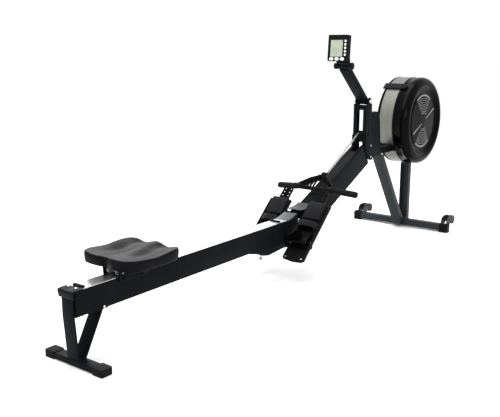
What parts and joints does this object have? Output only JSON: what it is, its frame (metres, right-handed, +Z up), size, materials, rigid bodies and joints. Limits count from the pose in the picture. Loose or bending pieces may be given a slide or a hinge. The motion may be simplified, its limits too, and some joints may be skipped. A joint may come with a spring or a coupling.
{
  "type": "rowing machine",
  "caption": "Air-resistance rowing machine with a folding rail, sliding seat, chain-driven fan flywheel, slanted footboards and a pivoting monitor.",
  "frame": {"origin": "on the floor, under the middle of the machine's bounding box", "axes": "+X forward from the seat to the flywheel, +Y the rower's left, +Z up"},
  "size_m": [2.6044, 0.562, 1.0265],
  "materials": {
    "powder_black": "satin black powder coat",
    "stainless": "brushed stainless",
    "bright_cover": "satin bright cover",
    "matte_black": "fine textured black plastic",
    "gloss_black": "glossy black plastic",
    "rubber_black": "black rubber",
    "seat_foam": "moulded black foam skin",
    "grip_foam": "black grip rubber",
    "bolt_zinc": "bright zinc",
    "chain_nickel": "nickel plated steel",
    "band_silver": "silver grey mesh",
    "fan_black": "painted fan",
    "bearing_steel": "ground steel",
    "display_lens": "grey green display",
    "button_white": "white keys",
    "strap_web": "woven webbing and moulded flap",
    "cord_black": "braided shock cord",
    "castor_tread": "solid black tread",
    "roller_white": "nylon roller"
  },
  "bodies": {
    "frame": {"main_boom": "powder_black", "hinge_cheeks": "powder_black", "under_bracket": "powder_black", "hinge_front_cover": "bright_cover", "footboard_left": "matte_black", "footboard_right": "matte_black", "toe_straps": "strap_web", "foot_crossbar": "powder_black", "front_leg_rear_strut": "powder_black", "front_leg_front_strut": "powder_black", "front_crossbar": "powder_black", "front_foot_caps": "rubber_black", "side_plates": "powder_black", "monitor_posts": "powder_black", "frame_bolts": "bolt_zinc", "cage_shell_right": "gloss_black", "cage_shell_left": "gloss_black", "perforated_band": "band_silver", "cage_bridges": "matte_black", "wheel_axle": "bearing_steel", "shock_cord": "cord_black", "chain": "chain_nickel"},
    "rail": {"rail_extrusion": "powder_black", "rail_track": "stainless", "rail_end_cap": "matte_black", "seat_stops": "rubber_black", "rail_nose_cover": "bright_cover", "rear_leg": "powder_black", "rear_foot_caps": "rubber_black", "rail_bolts": "bolt_zinc"},
    "seat": {"seat_pad": "seat_foam", "seat_carriage": "powder_black"},
    "seat_roller_rear": {"seat_rollers_rear": "roller_white"},
    "seat_roller_front": {"seat_rollers_front": "roller_white"},
    "handle": {"handle_bar": "powder_black", "handle_grips": "grip_foam", "handle_yoke": "matte_black"},
    "guide_wheel": {"chain_guide": "matte_black"},
    "sprocket": {"drive_sprocket": "bearing_steel"},
    "pulley": {"return_pulley": "matte_black"},
    "flywheel": {"fan_wheel": "fan_black"},
    "damper": {"damper_ring": "matte_black"},
    "heel_left": {"heel_cup_left": "gloss_black"},
    "heel_right": {"heel_cup_right": "gloss_black"},
    "lock": {"lock_pin": "bearing_steel"},
    "castor_left": {"transport_wheel_left": "castor_tread"},
    "castor_right": {"transport_wheel_right": "castor_tread"},
    "arm": {"monitor_arm": "powder_black"},
    "monitor": {"monitor_bracket": "matte_black", "monitor_housing": "matte_black", "monitor_rear_cover": "matte_black", "monitor_lens": "display_lens"},
    "side_button_a": {"side_button_a": "button_white"},
    "side_button_b": {"side_button_b": "button_white"},
    "side_button_c": {"side_button_c": "button_white"},
    "side_button_d": {"side_button_d": "button_white"},
    "side_button_e": {"side_button_e": "button_white"},
    "main_button_left": {"main_button_left": "button_white"},
    "main_button_middle": {"main_button_middle": "button_white"},
    "main_button_right": {"main_button_right": "button_white"}
  },
  "joints": [
    {"name": "rail_fold", "type": "hinge", "parent": "frame", "child": "rail", "pos_m": [-0.0774, 0, 0.24], "axis": [0, -1, 0], "range_deg": [-80, 0]},
    {"name": "seat_slide", "type": "slide", "parent": "rail", "child": "seat", "axis": [1, 0, 0], "range_m": [-0.129, 0.78]},
    {"name": "seat_roller_rear_spin", "type": "hinge", "parent": "seat", "child": "seat_roller_rear", "pos_m": [-1.0994, 0, 0.2658], "axis": [0, 1, 0], "continuous": true},
    {"name": "seat_roller_front_spin", "type": "hinge", "parent": "seat", "child": "seat_roller_front", "pos_m": [-0.9994, 0, 0.2658], "axis": [0, 1, 0], "continuous": true},
    {"name": "handle_pull", "type": "slide", "parent": "frame", "child": "handle", "axis": [-0.9563, 0, 0.2924], "range_m": [0, 1.05], "stiffness_N_per_m": 25, "springref_m": -0.5, "deforming": ["chain"]},
    {"name": "chain_guide_spin", "type": "hinge", "parent": "frame", "child": "guide_wheel", "pos_m": [0.5216, 0, 0.544], "axis": [0, 1, 0], "continuous": true},
    {"name": "sprocket_spin", "type": "hinge", "parent": "frame", "child": "sprocket", "pos_m": [1.0704, 0, 0.5798], "axis": [0, 1, 0], "continuous": true},
    {"name": "return_pulley_spin", "type": "hinge", "parent": "frame", "child": "pulley", "pos_m": [0.0552, 0, 0.2401], "axis": [0, 1, 0], "continuous": true},
    {"name": "flywheel_spin", "type": "hinge", "parent": "frame", "child": "flywheel", "pos_m": [1.0704, 0, 0.5798], "axis": [0, 1, 0], "continuous": true},
    {"name": "damper_turn", "type": "hinge", "parent": "frame", "child": "damper", "pos_m": [1.0704, 0, 0.5798], "axis": [0, 1, 0], "range_deg": [0, 66]},
    {"name": "heel_left_slide", "type": "slide", "parent": "frame", "child": "heel_left", "axis": [0.7361, 0, 0.6769], "range_m": [-0.036, 0.008]},
    {"name": "heel_right_slide", "type": "slide", "parent": "frame", "child": "heel_right", "axis": [0.7361, 0, 0.6769], "range_m": [-0.036, 0.008]},
    {"name": "lock_pin_slide", "type": "slide", "parent": "frame", "child": "lock", "axis": [0, 0, 1], "range_m": [0, 0.012]},
    {"name": "castor_left_spin", "type": "hinge", "parent": "frame", "child": "castor_left", "pos_m": [1.1166, 0.252, 0.048], "axis": [0, 1, 0], "continuous": true},
    {"name": "castor_right_spin", "type": "hinge", "parent": "frame", "child": "castor_right", "pos_m": [1.1166, -0.252, 0.048], "axis": [0, 1, 0], "continuous": true},
    {"name": "monitor_arm_pivot", "type": "hinge", "parent": "frame", "child": "arm", "pos_m": [0.5356, 0, 0.714], "axis": [0, 1, 0], "range_deg": [-35, 25]},
    {"name": "monitor_tilt", "type": "hinge", "parent": "arm", "child": "monitor", "pos_m": [0.3376, 0, 0.886], "axis": [0, 1, 0], "range_deg": [-25, 25]},
    {"name": "side_button_a_press", "type": "slide", "parent": "monitor", "child": "side_button_a", "axis": [0.9976, 0, -0.0698], "range_m": [0, 0.0015], "stiffness_N_per_m": 400},
    {"name": "side_button_b_press", "type": "slide", "parent": "monitor", "child": "side_button_b", "axis": [0.9976, 0, -0.0698], "range_m": [0, 0.0015], "stiffness_N_per_m": 400},
    {"name": "side_button_c_press", "type": "slide", "parent": "monitor", "child": "side_button_c", "axis": [0.9976, 0, -0.0698], "range_m": [0, 0.0015], "stiffness_N_per_m": 400},
    {"name": "side_button_d_press", "type": "slide", "parent": "monitor", "child": "side_button_d", "axis": [0.9976, 0, -0.0698], "range_m": [0, 0.0015], "stiffness_N_per_m": 400},
    {"name": "side_button_e_press", "type": "slide", "parent": "monitor", "child": "side_button_e", "axis": [0.9976, 0, -0.0698], "range_m": [0, 0.0015], "stiffness_N_per_m": 400},
    {"name": "main_button_left_press", "type": "slide", "parent": "monitor", "child": "main_button_left", "axis": [0.9976, 0, -0.0698], "range_m": [0, 0.0015], "stiffness_N_per_m": 400},
    {"name": "main_button_middle_press", "type": "slide", "parent": "monitor", "child": "main_button_middle", "axis": [0.9976, 0, -0.0698], "range_m": [0, 0.0015], "stiffness_N_per_m": 400},
    {"name": "main_button_right_press", "type": "slide", "parent": "monitor", "child": "main_button_right", "axis": [0.9976, 0, -0.0698], "range_m": [0, 0.0015], "stiffness_N_per_m": 400}
  ],
  "couplings": [
    {"joint": "seat_roller_rear_spin", "follows": "seat_slide", "rad_per_m": 83.333},
    {"joint": "seat_roller_front_spin", "follows": "seat_slide", "rad_per_m": 83.333},
    {"joint": "chain_guide_spin", "follows": "handle_pull", "rad_per_m": -38},
    {"joint": "sprocket_spin", "follows": "handle_pull", "rad_per_m": 35.3},
    {"joint": "return_pulley_spin", "follows": "handle_pull", "rad_per_m": 27}
  ]
}
